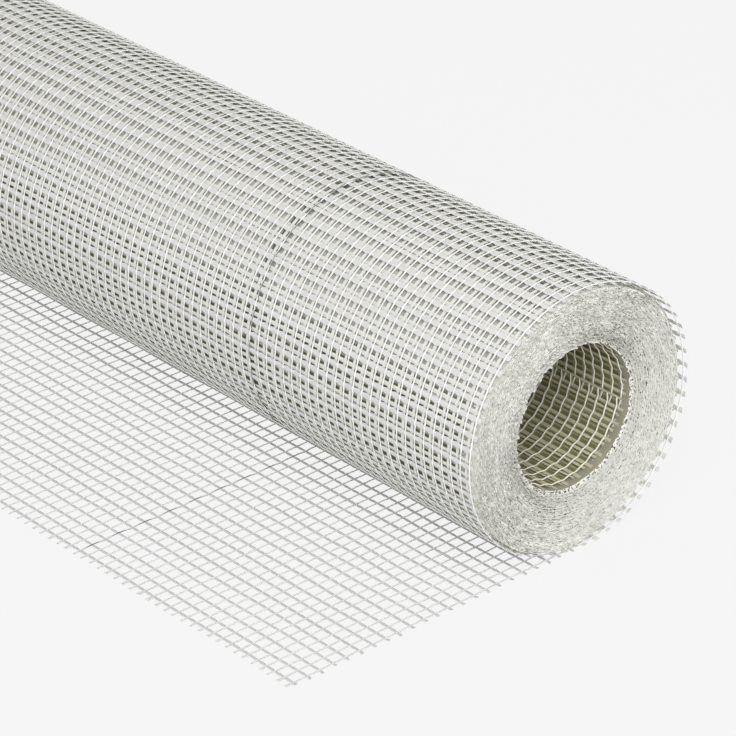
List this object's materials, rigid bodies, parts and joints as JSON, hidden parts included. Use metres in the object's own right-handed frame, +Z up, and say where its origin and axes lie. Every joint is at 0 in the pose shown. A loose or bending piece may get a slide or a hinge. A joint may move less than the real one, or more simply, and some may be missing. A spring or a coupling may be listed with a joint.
{
  "type": "roll of fiberglass mesh",
  "caption": "Open-weave coated glass-fibre reinforcing mesh wound in a coreless roll on its side, open through the middle, with its free end run out flat on the floor.",
  "frame": {"origin": "middle of the footprint, on the floor that the roll lies on", "axes": "+X along the roll's axis, -Y towards the free end, +Z up"},
  "size_m": [1, 0.1644, 0.0908],
  "materials": {
    "coated_glass_yarn": "off-white glass-fibre yarn with a satin polymer coating"
  },
  "bodies": {
    "root": {"mesh_roll": "coated_glass_yarn"}
  },
  "joints": []
}
